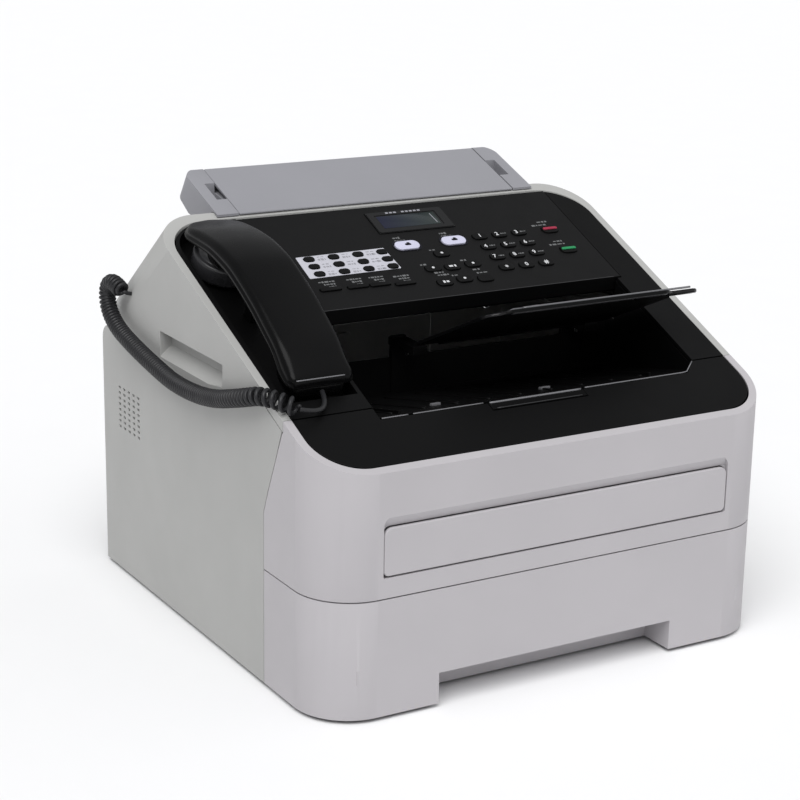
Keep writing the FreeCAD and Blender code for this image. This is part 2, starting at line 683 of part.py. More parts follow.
def make_handset_face():
    top = [(v, w - 0.7) for v, w in UNDER]
    low = [(274, 0, 3), (216, 0, 3), (213, 12, 3), (187, 18.4, 40), (154, 16.4, 40), (133, 12.6, 20), (117, 6, 5),
           (113, -6, 3), (84.5, -6, 3), (84.5, 6.9)]
    sunk = side(top + [(274, 6.9)] + low, "handset_w-9", slope_frame(HANDSET_X + 4.5, 0, 0))
    cup = rod("ear_cup_d", 14, slope_frame(EAR_CUP[0], EAR_CUP[1], -9.5))
    node("handset_face", in_handset_plan(join(sunk, cup)))


COIL_POINTS = [(-191.0, 122.5, 231.5), (-192.2, 135.5, 237.5), (-193.0, 146.5, 231.0), (-193.0, 146.0, 214.5),
               (-193.0, 128.0, 202.5), (-193.0, 96.0, 195.5), (-193.0, 60.0, 189.8),
               (-193.0, 20.9, 185.1), (-193.0, -31.8, 188.9), (-193.0, -80.0, 202.5), (-189.0, -110.0, 212.0),
               (-174.0, -126.0, 204.6)]
LEAD_FRONT = [(-173.5, -126.6, 204.3), (-161.0, -129.0, 201.2), (-150.0, -119.0, 203.6), (-146.5, -106.4, 207.8)]


def tube(route, diameter, name):
    """Round cord along straight runs joined by tangent arcs."""
    points = [V(*p) for p in route]
    edges = []
    last = points[0]
    for i in range(1, len(points) - 1):
        back = points[i - 1] - points[i]
        ahead = points[i + 1] - points[i]
        turn = math.pi - back.getAngle(ahead)
        reach = 0.45 * min(back.Length, ahead.Length)
        radius = reach / math.tan(turn / 2)
        print(name, "bend", i, "radius", round(radius, 1), "turn", round(math.degrees(turn), 1))
        back.normalize()
        ahead.normalize()
        first = points[i] + back * reach
        final = points[i] + ahead * reach
        inward = (back + ahead).normalize()
        crown = points[i] + inward * (radius / math.cos(turn / 2) - radius)
        edges.append(Part.LineSegment(last, first).toShape())
        edges.append(Part.Arc(first, crown, final).toShape())
        last = final
    edges.append(Part.LineSegment(last, points[-1]).toShape())
    path = Part.Wire(edges)
    start_dir = (points[1] - points[0]).normalize()
    ring = Part.Wire([Part.Circle(points[0], start_dir, diameter / 2).toShape()])
    solid = path.makePipeShell([ring], True, True)
    item = doc.addObject("Part::Feature", "tube")
    item.Shape = Part.Solid(solid) if solid.ShapeType == "Shell" else solid
    item.Placement = FreeCAD.Placement()
    section = math.pi * diameter ** 2 / 4
    print(name, "length", round(path.Length, 1), "volume ratio", round(item.Shape.Volume / (section * path.Length), 3))
    return node(name, item)


def make_cord():
    tube(COIL_POINTS, VALUES["coil_d"], "cord_curl")
    tube(LEAD_FRONT, VALUES["lead_d"], "cord_lead_front")


def make_all():
    fill_sheet()
    make_base_frame()
    make_rubber_feet()
    make_left_side_cover()
    make_right_side_cover()
    make_rear_cover()
    make_cover_screws()
    make_fuser_cover()
    make_power_inlet()
    make_line_jacks()
    make_upper_cover()
    make_deck_panel()
    make_output_tray()
    make_document_frame()
    make_document_cover()
    make_drum_unit()
    make_toner_cartridge()
    make_laser_scanner_unit()
    make_fuser_frame()
    make_heat_roller()
    make_pressure_roller()
    make_main_motor()
    make_drive_gear()
    make_main_board()
    make_speaker()
    make_pickup_roller()
    make_adf_feed_roller()
    make_hook_switch()
    make_control_panel()
    make_panel_base()
    make_lcd_window()
    make_dial_keys()
    make_key_groups()
    make_stop_and_start()
    make_document_support()
    make_front_cover()
    make_front_strip()
    make_stop_flap()
    make_manual_feed_flap()
    make_cassette_tray()
    make_lift_plate()
    make_length_guide()
    make_handset_back()
    make_handset_face()
    make_cord()
    doc.recompute()


def write_parts():
    for item in doc.Objects:
        states = [s for s in item.State if s in ("Invalid", "Error")]
        if states:
            raise RuntimeError("%s (%s): %s" % (item.Name, item.Label, states))
    os.makedirs("parts", exist_ok=True)
    for item in NODES:
        shape = item.Shape
        if shape.isNull() or not shape.isValid() or shape.Volume < 1:
            raise RuntimeError("bad shape " + item.Label)
        low = shape.BoundBox
        print("%-20s solids %2d vol %9.0f  x %6.1f %6.1f  y %6.1f %6.1f  z %6.1f %6.1f" % (
            item.Label, len(shape.Solids), shape.Volume, low.XMin, low.XMax, low.YMin, low.YMax,
            low.ZMin, low.ZMax))
        shape.exportStep("parts/%s.step" % item.Label)
    print(len(NODES), "nodes")


make_all()
write_parts()
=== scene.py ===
import json
import math

import bpy
from mathutils import Matrix, Vector


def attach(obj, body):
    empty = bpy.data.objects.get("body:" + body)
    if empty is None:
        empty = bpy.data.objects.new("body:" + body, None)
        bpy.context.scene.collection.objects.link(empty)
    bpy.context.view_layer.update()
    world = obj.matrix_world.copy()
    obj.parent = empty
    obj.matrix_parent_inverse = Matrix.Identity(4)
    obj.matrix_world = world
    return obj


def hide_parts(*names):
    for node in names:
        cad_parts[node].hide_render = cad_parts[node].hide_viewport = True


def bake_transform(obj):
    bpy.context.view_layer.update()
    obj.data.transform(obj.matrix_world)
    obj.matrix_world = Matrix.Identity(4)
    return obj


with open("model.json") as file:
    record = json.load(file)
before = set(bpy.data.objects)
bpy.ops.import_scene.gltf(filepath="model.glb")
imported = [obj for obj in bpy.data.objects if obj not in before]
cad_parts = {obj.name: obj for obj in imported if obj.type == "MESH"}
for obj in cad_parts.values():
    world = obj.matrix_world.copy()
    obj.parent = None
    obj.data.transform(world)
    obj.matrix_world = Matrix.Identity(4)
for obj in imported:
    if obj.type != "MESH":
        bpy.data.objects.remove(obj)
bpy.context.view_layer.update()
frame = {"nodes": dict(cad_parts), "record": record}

# Office laser fax machine with handset.  X right, front at -Y, Z up, metres.
MM = 0.001
SLOPE = math.radians(23.8)
COS = math.cos(SLOPE)
SIN = math.sin(SLOPE)


def on_slope(x, v, w=0.0):
    """Millimetres on the sloped top (x, up the slope, outwards) to metres in the row frame."""
    return Vector((x, -180 + v * COS - w * SIN, 171.79 + v * SIN + w * COS)) * MM


def slope_matrix(x=0.0, v=0.0, w=0.0):
    return Matrix.Translation(on_slope(x, v, w)) @ Matrix.Rotation(SLOPE, 4, "X")


def link(obj):
    bpy.context.scene.collection.objects.link(obj)
    return obj


# ---------------------------------------------------------------- camera, light, floor

def make_camera():
    az = math.radians(-30.67)
    el = math.radians(16.34)
    roll = math.radians(1.03)
    back = Vector((math.sin(az) * math.cos(el), -math.cos(az) * math.cos(el), math.sin(el)))
    right = (-back).cross(Vector((0, 0, 1))).normalized()
    up = right.cross(-back)
    right2 = right * math.cos(roll) + up * math.sin(roll)
    up2 = up * math.cos(roll) - right * math.sin(roll)
    turn = Matrix((right2, up2, back)).transposed().to_4x4()
    data = bpy.data.cameras.new("camera")
    data.lens = 90.89
    data.sensor_width = 36.0
    data.clip_start = 0.05
    data.clip_end = 60.0
    camera = link(bpy.data.objects.new("camera", data))
    camera.matrix_world = Matrix.Translation((-0.75389, -1.23126, 0.57739)) @ turn
    bpy.context.scene.camera = camera


def make_light():
    world = bpy.data.worlds.new("studio")
    bpy.context.scene.world = world
    world.use_nodes = True
    world.node_tree.nodes["Background"].inputs["Color"].default_value = (0.97, 0.98, 1.0, 1)
    world.node_tree.nodes["Background"].inputs["Strength"].default_value = 0.42
    for name, strength, angle, direction in (
        ("key", 2.55, 50, (-0.34, -0.42, 0.84)),
        ("fill", 0.35, 80, (0.75, -0.35, 0.55)),
    ):
        data = bpy.data.lights.new(name, "SUN")
        data.energy = strength
        data.angle = math.radians(angle)
        lamp = link(bpy.data.objects.new(name, data))
        lamp.rotation_euler = Vector(direction).to_track_quat("Z", "Y").to_euler()
    bpy.context.scene.view_settings.view_transform = "Standard"


def make_floor():
    mesh = bpy.data.meshes.new("floor")
    s = 14.0
    mesh.from_pydata([(-s, -s, 0), (s, -s, 0), (s, s, 0), (-s, s, 0)], [], [(0, 1, 2, 3)])
    floor = link(bpy.data.objects.new("floor", mesh))
    paint = plastic("floor_paint", (0.86, 0.86, 0.865), 0.8, grain=300, bump=0.01, spec=0.0, vary=0.003)
    floor.data.materials.append(paint)


# ---------------------------------------------------------------- materials

def srgb(r, g, b):
    return tuple(((c / 255 + 0.055) / 1.055) ** 2.4 if c > 10 else c / 255 / 12.92 for c in (r, g, b))


def plastic(name, colour, rough, grain=1800.0, bump=0.12, spec=0.5, vary=0.02, metal=0.0):
    """Moulded plastic, rubber or metal: cloudy colour, spark-eroded grain, uneven gloss."""
    material = bpy.data.materials.new(name)
    material.use_nodes = True
    nodes = material.node_tree.nodes
    links = material.node_tree.links
    shader = nodes["Principled BSDF"]
    shader.inputs["Metallic"].default_value = metal
    shader.inputs["Specular IOR Level"].default_value = spec
    where = nodes.new("ShaderNodeTexCoord")

    def noise(scale, detail):
        tex = nodes.new("ShaderNodeTexNoise")
        tex.inputs["Scale"].default_value = scale
        tex.inputs["Detail"].default_value = detail
        links.new(where.outputs["Object"], tex.inputs["Vector"])
        return tex.outputs["Fac"]

    def span(value, low, high):
        turn = nodes.new("ShaderNodeMapRange")
        turn.inputs["From Min"].default_value = 0.3
        turn.inputs["From Max"].default_value = 0.7
        turn.inputs["To Min"].default_value = low
        turn.inputs["To Max"].default_value = high
        links.new(value, turn.inputs["Value"])
        return turn.outputs["Result"]

    tint = nodes.new("ShaderNodeMix")
    tint.data_type = "RGBA"
    tint.inputs["A"].default_value = (*[c * (1 - vary) for c in colour], 1)
    tint.inputs["B"].default_value = (*[min(1, c * (1 + vary)) for c in colour], 1)
    links.new(span(noise(14, 3), 0, 1), tint.inputs["Factor"])
    links.new(tint.outputs["Result"], shader.inputs["Base Color"])
    links.new(span(noise(40, 4), rough - 0.05, rough + 0.07), shader.inputs["Roughness"])
    pits = nodes.new("ShaderNodeTexVoronoi")
    pits.feature = "SMOOTH_F1"
    pits.inputs["Scale"].default_value = grain
    links.new(where.outputs["Object"], pits.inputs["Vector"])
    relief = nodes.new("ShaderNodeBump")
    relief.inputs["Strength"].default_value = bump
    relief.inputs["Distance"].default_value = 0.0002
    links.new(pits.outputs["Distance"], relief.inputs["Height"])
    links.new(relief.outputs["Normal"], shader.inputs["Normal"])
    return material


MATERIALS = {}


def make_materials():
    rows = {
        "white_plastic": (srgb(170, 170, 168), 0.52, 1500, 0.16, 0.30),
        "front_plastic": (srgb(178, 175, 178), 0.48, 1500, 0.12, 0.32),
        "grey_plastic": (srgb(142, 142, 147), 0.50, 1500, 0.12, 0.25),
        "black_plastic": (srgb(13, 13, 13.5), 0.42, 1500, 0.20, 0.07),
        "tray_black": (srgb(11, 11, 11.5), 0.36, 1300, 0.15, 0.10),
        "handset_black": (srgb(10, 10, 10.5), 0.27, 1700, 0.07, 0.10),
        "cord_plastic": (srgb(36, 36, 38), 0.38, 1400, 0.05, 0.30),
        "key_black": (srgb(14, 14, 14.5), 0.40, 2200, 0.08, 0.09),
        "key_white": (srgb(196, 196, 216), 0.35, 2200, 0.04, 0.50),
        "key_red": (srgb(150, 34, 62), 0.38, 2200, 0.04, 0.40),
        "key_green": (srgb(26, 132, 80), 0.38, 2200, 0.04, 0.40),
        "rubber": (srgb(34, 34, 34), 0.75, 900, 0.35, 0.25),
        "roller_rubber": (srgb(46, 46, 48), 0.68, 1100, 0.35, 0.25),
        "chassis_plastic": (srgb(52, 53, 56), 0.55, 1200, 0.20, 0.30),
        "board_green": (srgb(24, 84, 52), 0.42, 1600, 0.15, 0.40),
        "gear_plastic": (srgb(206, 200, 182), 0.45, 1600, 0.08, 0.40),
        "toner_plastic": (srgb(36, 37, 42), 0.40, 1500, 0.15, 0.35),
        "drum_plastic": (srgb(58, 60, 70), 0.45, 1500, 0.15, 0.35),
    }
    for name, (colour, rough, grain, bump, spec) in rows.items():
        MATERIALS[name] = plastic(name, colour, rough, grain, bump, spec)
    MATERIALS["steel"] = plastic("steel", srgb(176, 177, 180), 0.30, 2600, 0.05, 0.5, metal=1.0)
    MATERIALS["lcd_glass"] = screen_material()
    MATERIALS["print_white"] = plastic("print_white", srgb(205, 206, 208), 0.55, 2400, 0.02, 0.3)
    MATERIALS["print_grey"] = plastic("print_grey", srgb(104, 105, 106), 0.6, 2400, 0.02, 0.2)
    MATERIALS["print_pale"] = plastic("print_pale", srgb(148, 148, 154), 0.6, 2400, 0.02, 0.2)
    MATERIALS["print_dark"] = plastic("print_dark", srgb(20, 20, 30), 0.5, 2400, 0.02, 0.2)
    MATERIALS["label_paper"] = plastic("label_paper", srgb(186, 186, 194), 0.55, 900, 0.05, 0.3, vary=0.05)
    MATERIALS["black_gloss"] = plastic("black_gloss", srgb(12, 12, 13), 0.22, 1800, 0.04, 0.35)
    # Console black: a lighter copy of black_plastic, with painted light standing in for the floor's bounce on
    # the console's front wall.
    MATERIALS["panel_painted_light_black"] = plastic("panel_painted_light_black", srgb(19, 19, 19.5), 0.44, 1500, 0.20, 0.09)
    # Mid grey for thin beads, blocks and lips on black parts: a painted highlight along their edges.
    MATERIALS["painted_highlight_grey"] = plastic("painted_highlight_grey", srgb(112, 112, 115), 0.28, 1800, 0.04, 0.5)
    # Dark grey, lighter than the handset black: a painted sheen on the ear cup's side and a painted highlight on
    # thin beads of the support and console.
    MATERIALS["painted_sheen_grey"] = plastic("painted_sheen_grey", srgb(44, 44, 46), 0.30, 1800, 0.05, 0.45)
    # Light grey for the thin wire on the document support: a painted highlight along its edge.
    MATERIALS["support_painted_highlight"] = plastic("support_painted_highlight", srgb(104, 104, 107), 0.25, 1800, 0.04, 0.5)


def screen_material():
    """Dark glass over an unlit display: bluish at the left, greenish grey at the right."""
    material = plastic("lcd_glass", srgb(36, 38, 54), 0.25, 3000, 0.01, 0.22)
    nodes = material.node_tree.nodes
    links = material.node_tree.links
    where = nodes.new("ShaderNodeTexCoord")
    split = nodes.new("ShaderNodeSeparateXYZ")
    links.new(where.outputs["Object"], split.inputs["Vector"])
    slide = nodes.new("ShaderNodeMapRange")
    slide.inputs["From Min"].default_value = -0.012
    slide.inputs["From Max"].default_value = 0.046
    links.new(split.outputs["X"], slide.inputs["Value"])
    ramp = nodes.new("ShaderNodeValToRGB")
    ramp.color_ramp.elements[0].color = (*srgb(30, 31, 50), 1)
    ramp.color_ramp.elements[1].color = (*srgb(40, 50, 46), 1)
    links.new(slide.outputs["Result"], ramp.inputs["Fac"])
    links.new(ramp.outputs["Color"], nodes["Principled BSDF"].inputs["Base Color"])
    return material


def finish_cad():
    """Materials and softened edges on the nodes that stay as they are."""
    slots = {}
    for row in frame["record"]["subparts"]:
        slots[row["node"]] = row["material_slot"]
    fine = {"lcd_window": 0.3, "one_touch_keys": 0.35, "mode_keys": 0.5, "navigation_keys": 0.5,
            "stop_key": 0.5, "start_key": 0.5, "document_support": 0.5, "cover_screws": 0.3,
            "front_cover": 1.0, "cassette_tray": 1.0, "upper_cover": 1.2, "document_cover": 0.9,
            "document_frame": 0.9, "left_side_cover": 0.4, "right_side_cover": 0.6, "rear_cover": 0.6,
            "handset_back": 1.6, "handset_face": 1.0, "control_panel": 0.8, "deck_panel": 0.6,
            "manual_feed_flap": 0.9, "front_strip": 0.7}
    for name, obj in frame["nodes"].items():
        obj.data.materials.clear()
        # The console takes the lighter black that paints in the light on its front wall.
        look = {"stop_key": "key_black", "start_key": "key_black", "lcd_window": "black_gloss",
                "control_panel": "panel_painted_light_black"}.get(name, slots[name])
        obj.data.materials.append(MATERIALS[look])
        width = fine.get(name, 0.4)
        weld = obj.modifiers.new("weld", "WELD")
        weld.merge_threshold = 0.00001
        if name != "upper_cover":
            flat = obj.modifiers.new("flat", "DECIMATE")
            flat.decimate_type = "DISSOLVE"
            flat.angle_limit = math.radians(0.6)
        bevel = obj.modifiers.new("edges", "BEVEL")
        bevel.width = width * MM
        bevel.segments = 3
        bevel.limit_method = "ANGLE"
        bevel.angle_limit = math.radians(28)
        bevel.harden_normals = True


# ---------------------------------------------------------------- mesh helpers

def mesh_object(name, verts, faces, material, smooth=True):
    mesh = bpy.data.meshes.new(name)
    mesh.from_pydata([tuple(v) for v in verts], [], faces)
    mesh.update()
    for face in mesh.polygons:
        face.use_smooth = smooth
    mesh.materials.append(MATERIALS[material])
    return link(bpy.data.objects.new(name, mesh))


def route(points_mm):
    """Smooth NURBS line through the cord's route, and the points that it passes."""
    curve = bpy.data.curves.new("route", "CURVE")
    curve.dimensions = "3D"
    curve.resolution_u = 48
    spline = curve.splines.new("NURBS")
    spline.points.add(len(points_mm) - 1)
    for point, place in zip(spline.points, points_mm):
        point.co = (*[c * MM for c in place], 1)
    spline.order_u = 3
    spline.use_endpoint_u = True
    return bpy.data.objects.new("route", curve)


def line_of(obj):
    mesh = bpy.data.meshes.new_from_object(obj)
    points = [v.co.copy() for v in mesh.vertices]
    bpy.data.meshes.remove(mesh)
    return points


def frames_along(points):
    """Tangent and a normal that doesn't twist, at each point."""
    result = []
    start = (points[1] - points[0]).normalized()
    normal = Vector((0, 0, 1)) if abs(start.x) > 0.9 else Vector((1, 0, 0))
    for i, point in enumerate(points):
        ahead = points[min(i + 1, len(points) - 1)] - points[max(i - 1, 0)]
        tangent = ahead.normalized()
        normal = (normal - tangent * normal.dot(tangent)).normalized()
        result.append((point, tangent, normal, tangent.cross(normal)))
    return result


def tube_mesh(name, points, radius, sides, material):
    verts = []
    faces = []
    for point, _, a, b in frames_along(points):
        for k in range(sides):
            turn = 2 * math.pi * k / sides
            verts.append(point + (a * math.cos(turn) + b * math.sin(turn)) * radius)
    rings = len(points)
    for i in range(rings - 1):
        for k in range(sides):
            n = (k + 1) % sides
            faces.append((i * sides + k, i * sides + n, (i + 1) * sides + n, (i + 1) * sides + k))
    faces.append(tuple(reversed(range(sides))))
    faces.append(tuple((rings - 1) * sides + k for k in range(sides)))
    return mesh_object(name, verts, faces, material)


# ---------------------------------------------------------------- outlines and small parts

def corner_outline(points, steps=6):
    """Closed outline in millimetres; a corner given as (x, y, r) is rounded."""
    result = []
    count = len(points)
    for i, point in enumerate(points):
        here = Vector(point[:2])
        if len(point) == 2:
            result.append(here)
            continue
        back = (Vector(points[i - 1][:2]) - here).normalized()
        ahead = (Vector(points[(i + 1) % count][:2]) - here).normalized()
        half = back.angle(ahead) / 2
        centre = here + (back + ahead).normalized() * (point[2] / math.sin(half))
        first = here + back * (point[2] / math.tan(half)) - centre
        last = here + ahead * (point[2] / math.tan(half)) - centre
        for k in range(steps + 1):
            result.append(centre + first.slerp(last, k / steps) * point[2])
    return result


def pill_outline(x, v, width, length, corner=None, steps=6):
    a = width / 2
    b = length / 2
    r = min(a, b) * 0.97 if corner is None else corner
    return corner_outline([(x - a, v - b, r), (x + a, v - b, r), (x + a, v + b, r), (x - a, v + b, r)], steps)


def plates(name, outlines, low, high, material, body, edge=0.2):
    """Flat pieces on the slope: each outline (x, v) raised from low to high, with a softened top edge."""
    verts = []
    faces = []
    for outline in outlines:
        middle = sum(outline, Vector((0, 0))) / len(outline)
        n = len(outline)
        start = len(verts)
        for inset, w in ((0, low), (0, high - edge), (edge * 0.3, high - edge * 0.3), (edge, high)):
            for point in outline:
                out = point - middle
                near = point - out.normalized() * inset
                verts.append(on_slope(near.x, near.y, w))
        for ring in range(3):
            for k in range(n):
                m = (k + 1) % n
                faces.append((start + ring * n + k, start + ring * n + m, start + ring * n + n + m,
                              start + ring * n + n + k))
        faces.append(tuple(range(start + 3 * n, start + 4 * n)))
    obj = mesh_object(name, verts, faces, material)
    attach(obj, body)
    return obj


def holed_plate(name, outer, holes, low, high, material, body):
    """Sheet on the slope with openings, as a filled flat curve turned into a mesh."""
    curve = bpy.data.curves.new(name, "CURVE")
    curve.dimensions = "2D"
    curve.fill_mode = "BOTH"
    curve.extrude = (high - low) / 2 * MM
    for outline in [outer] + holes:
        spline = curve.splines.new("POLY")
        spline.points.add(len(outline) - 1)
        for point, place in zip(spline.points, outline):
            point.co = (place.x * MM, place.y * MM, 0, 1)
        spline.use_cyclic_u = True
    shape = bpy.data.objects.new(name + "_outline", curve)
    mesh = bpy.data.meshes.new_from_object(shape)
    bpy.data.objects.remove(shape)
    mesh.transform(slope_matrix(0, 0, (low + high) / 2))
    mesh.materials.clear()
    mesh.materials.append(MATERIALS[material])
    obj = link(bpy.data.objects.new(name, mesh))
    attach(obj, body)
    return obj


def dash(x, v, width, length, lean=0.0):
    a = width / 2
    b = length / 2
    return [Vector((x - a - lean, v - b)), Vector((x + a - lean, v - b)), Vector((x + a + lean, v + b)),
            Vector((x - a + lean, v + b))]


def caption(x, v, width, height, bars):
    """A printed caption as a row of plain bars of uneven width, with no letters in it."""
    rows = []
    widths = [1.0 + 0.45 * math.sin(2.3 * i + x) for i in range(bars)]
    scale = width * 0.80 / sum(widths)
    gap = width * 0.20 / max(1, bars - 1)
    left = x - width / 2
    for i, share in enumerate(widths):
        tall = height * (0.78 + 0.22 * math.sin(1.7 * i + v))
        rows.append(dash(left + share * scale / 2, v, share * scale, tall))
        left += share * scale + gap
    return rows


# ---------------------------------------------------------------- control panel details

KEY_TOP = 1.2
DIAL = [("1", 63.9, 233.8), ("2", 81.7, 233.8), ("3", 99.5, 233.8),
        ("4", 64.2, 220.4), ("5", 82.0, 220.4), ("6", 99.8, 220.4),
        ("7", 64.5, 207.0), ("8", 82.3, 207.0), ("9", 100.1, 207.0),
        ("star", 64.8, 193.4), ("0", 82.6, 193.4), ("hash", 100.4, 193.4)]
SIGNS = {"star": "*", "hash": "#"}
ONE_TOUCH = [(-85.4 + 20.2 * i, 227.6 - 9.1 * j) for j in range(3) for i in range(4)]
BAR_KEYS = [(-85.5, 191.0), (-63.5, 190.6), (-45.5, 190.2), (-25.5, 188.2)]
MODE_KEYS = [(-0.8, 232.2), (39.8, 232.2)]
ARROWS = [(21.4, 218.0), (5.0, 201.6), (39.7, 201.8), (23.3, 185.3)]


def digit(label, x, v, body):
    curve = bpy.data.curves.new("digit_" + label, "FONT")
    curve.body = SIGNS.get(label, label)
    curve.size = (6.4 if label in ("star", "hash") else 5.4) * MM
    curve.align_x = "CENTER"
    curve.align_y = "CENTER"
    curve.extrude = 0.03 * MM
    curve.offset = 0.10 * MM
    curve.materials.append(MATERIALS["print_white"])
    obj = link(bpy.data.objects.new("digit_" + label, curve))
    obj.matrix_world = slope_matrix(x, v - (1.2 if label == "star" else 0), KEY_TOP + 0.04)
    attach(obj, body)


def make_dial_prints():
    for label, x, v in DIAL:
        body = "dial_key_%s_body" % label
        shift = -2.6 if label in "23456789" else 0.0
        digit(label, x + shift, v, body)
        if shift:
            bars = caption(x + 3.2, v - 0.1, 5.0, 1.5, 3)
            plates("dial_caption_" + label, bars, KEY_TOP - 0.02, KEY_TOP + 0.06, "print_grey", body,
                   0.02)


def make_stop_and_start():
    for name, x, v, colour in (("stop", 128.0, 233.6, "key_red"), ("start", 129.0, 206.6, "key_green")):
        bar = [pill_outline(x, v, 12.6, 2.6, 0.9)]
        plates(name + "_bar", bar, KEY_TOP - 0.1, KEY_TOP + 0.7, colour, name + "_key_body", 0.4)


def make_label_sheet():
    sheet = [(-95.1, 205.4, 0.8), (-19.3, 206.3, 0.8), (-21.1, 232.4, 0.8), (-94.6, 231.5, 0.8)]
    outer = corner_outline(sheet)
    holes = [pill_outline(x, v, 9.2, 6.2) for x, v in ONE_TOUCH]
    holed_plate("one_touch_label", outer, holes, 0.02, 0.22, "label_paper", "panel")
    prints = []
    for i, (x, v) in enumerate(ONE_TOUCH):
        width = 6.4 if i % 4 < 3 else 3.0
        prints += caption(x + 10.0 if i % 4 < 3 else x - 7.6, v - 1.2, width, 2.4, 3)
        prints += caption(x + 10.0 if i % 4 < 3 else x - 7.6, v + 2.0, width * 0.8, 1.2, 2)
    plates("one_touch_print", prints, 0.21, 0.26, "print_pale", "panel", 0.01)


def make_panel_prints():
    prints = []
    for x, v in BAR_KEYS:
        for line in range(3):
            width = (14.5, 10.5, 7.5)[line] - (x % 3)
            prints += caption(x + 1.0 + line * 1.2, v + 9.2 - line * 3.1, width, 2.0, 5 - line)
    for x, v in MODE_KEYS:
        prints += caption(x - 4.0, v + 10.6, 6.0, 2.4, 3)
        prints += caption(x - 2.5, v + 7.2, 9.0, 1.6, 4)
    for x, v in ARROWS:
        prints += caption(x - 5.2, v + 5.8, 5.0, 1.8, 2)
    prints += caption(7.5, 196.4, 8.0, 2.0, 3) + caption(9.4, 193.2, 9.5, 2.0, 4)
    prints += caption(39.0, 195.2, 6.0, 1.8, 2) + caption(41.6, 190.8, 9.0, 1.8, 3)
    prints += caption(122.0, 240.5, 13.0, 2.0, 4) + caption(127.0, 244.4, 9.0, 2.0, 3)
    prints += caption(123.5, 214.5, 14.0, 2.0, 4) + caption(126.0, 218.2, 8.0, 2.0, 3)
    plates("panel_print", prints, -0.02, 0.05, "print_grey", "panel", 0.01)


def make_navigation_prints():
    dots = [pill_outline(x, v, 2.2, 2.2, steps=4) for x, v in ARROWS]
    dots += caption(21.4, 201.0, 6.0, 2.4, 2) + caption(6.4, 183.6, 5.0, 2.6, 2)
    plates("navigation_print", dots, KEY_TOP - 0.02, KEY_TOP + 0.06, "print_white", "navigation_keys_body",
           0.02)
    glyphs = []
    for x, v in MODE_KEYS:
        glyphs.append(pill_outline(x + 0.8, v + 0.2, 5.2, 2.4, 1.0))
        glyphs.append(pill_outline(x + 1.4, v + 1.4, 2.6, 2.6, 1.0))
    plates("mode_print", glyphs, KEY_TOP - 0.02, KEY_TOP + 0.06, "print_dark", "mode_keys_body",
           0.02)
    for i, (x, v) in enumerate(MODE_KEYS):
        outline = pill_outline(x, v, 22.6, 12.4, 5.6)
        ring = [on_slope(point.x, point.y, 0.1) for point in outline + outline[:1]]
        wire("mode_bezel_%d" % i, ring, 0.5 * MM, "panel", "print_dark")


def make_display():
    glass = [(-8.0, 255.0, 0.4), (41.5, 255.0, 0.4), (41.5, 270.5, 0.4), (-8.0, 270.5, 0.4)]
    plates("lcd_screen", [corner_outline(glass, 3)], 0.55, 0.70, "lcd_glass", "panel", 0.05)
    line = [[Vector((37.6, 268.6)), Vector((38.3, 268.6)), Vector((39.4, 256.8)), Vector((38.7, 256.8))]]
    plates("lcd_line", line, 0.68, 0.74, "print_pale", "panel", 0.01)
    frame_out = corner_outline([(-14.6, 250.0, 2), (50.6, 250.0, 2), (50.6, 275.6, 2), (-14.6, 275.6, 2)])
    window = corner_outline([(-9.4, 253.4, 1), (43.6, 253.4, 1), (43.6, 271.6, 1), (-9.4, 271.6, 1)])
    holed_plate("lcd_bezel", frame_out, [window], 0.55, 0.95, "black_gloss", "panel")
    name_line = []
    for i in range(9):
        if i != 3:
            name_line.append(dash(3.0 + i * 3.5, 273.8, 2.4, 1.7))
    plates("maker_print", name_line, 0.94, 0.99, "print_pale", "panel", 0.01)


# ---------------------------------------------------------------- handset

HANDSET_X = -171.5
HANDSET_W = 50.0
BACK = [(83.2, 9.0), (84, 12.0), (86, 14.0), (96, 18.2), (112, 23.9), (133, 28), (154, 31.5), (187, 34),
        (205, 32.5), (223, 28.8), (245, 21.5), (262, 14), (272, 9.4), (278, 6.2)]
UNDER = [(83.2, 6.6), (98, 7), (112, 13.6), (133, 18), (154, 21.5), (187, 23.6), (205, 21.8), (223, 18.5),
         (245, 11), (262, 6), (278, 4.6)]
EAR_CUP = (-146.5, 239.0)


def smooth_at(points, v):
    """Height at v on a smooth line through the points."""
    for i in range(len(points) - 1):
        a, b = points[i], points[i + 1]
        if v <= b[0]:
            break
    before = points[max(i - 1, 0)]
    after = points[min(i + 2, len(points) - 1)]
    t = min(1.0, max(0.0, (v - a[0]) / (b[0] - a[0])))
    span = b[0] - a[0]
    m0 = (b[1] - before[1]) / (b[0] - before[0]) * span
    m1 = (after[1] - a[1]) / (after[0] - a[0]) * span
    return ((2 * t ** 3 - 3 * t ** 2 + 1) * a[1] + (t ** 3 - 2 * t ** 2 + t) * m0
            + (3 * t ** 2 - 2 * t ** 3) * b[1] + (t ** 3 - t ** 2) * m1)


def bite(distance, radius):
    """How far a rounded corner cuts in, at a distance from the end."""
    if distance >= radius:
        return 0.0
    return radius - math.sqrt(max(0.0, radius ** 2 - (radius - distance) ** 2))


def loft(name, rings, material):
    verts = [on_slope(*p) for ring in rings for p in ring]
    n = len(rings[0])
    faces = []
    for i in range(len(rings) - 1):
        for k in range(n):
            m = (k + 1) % n
            faces.append((i * n + k, i * n + m, (i + 1) * n + m, (i + 1) * n + k))
    faces.append(tuple(reversed(range(n))))
    faces.append(tuple((len(rings) - 1) * n + k for k in range(n)))
    return mesh_object(name, verts, faces, material)


def handset_piece(obj, replaces=()):
    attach(obj, "handset")
    if replaces:
        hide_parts(*replaces)
    return obj


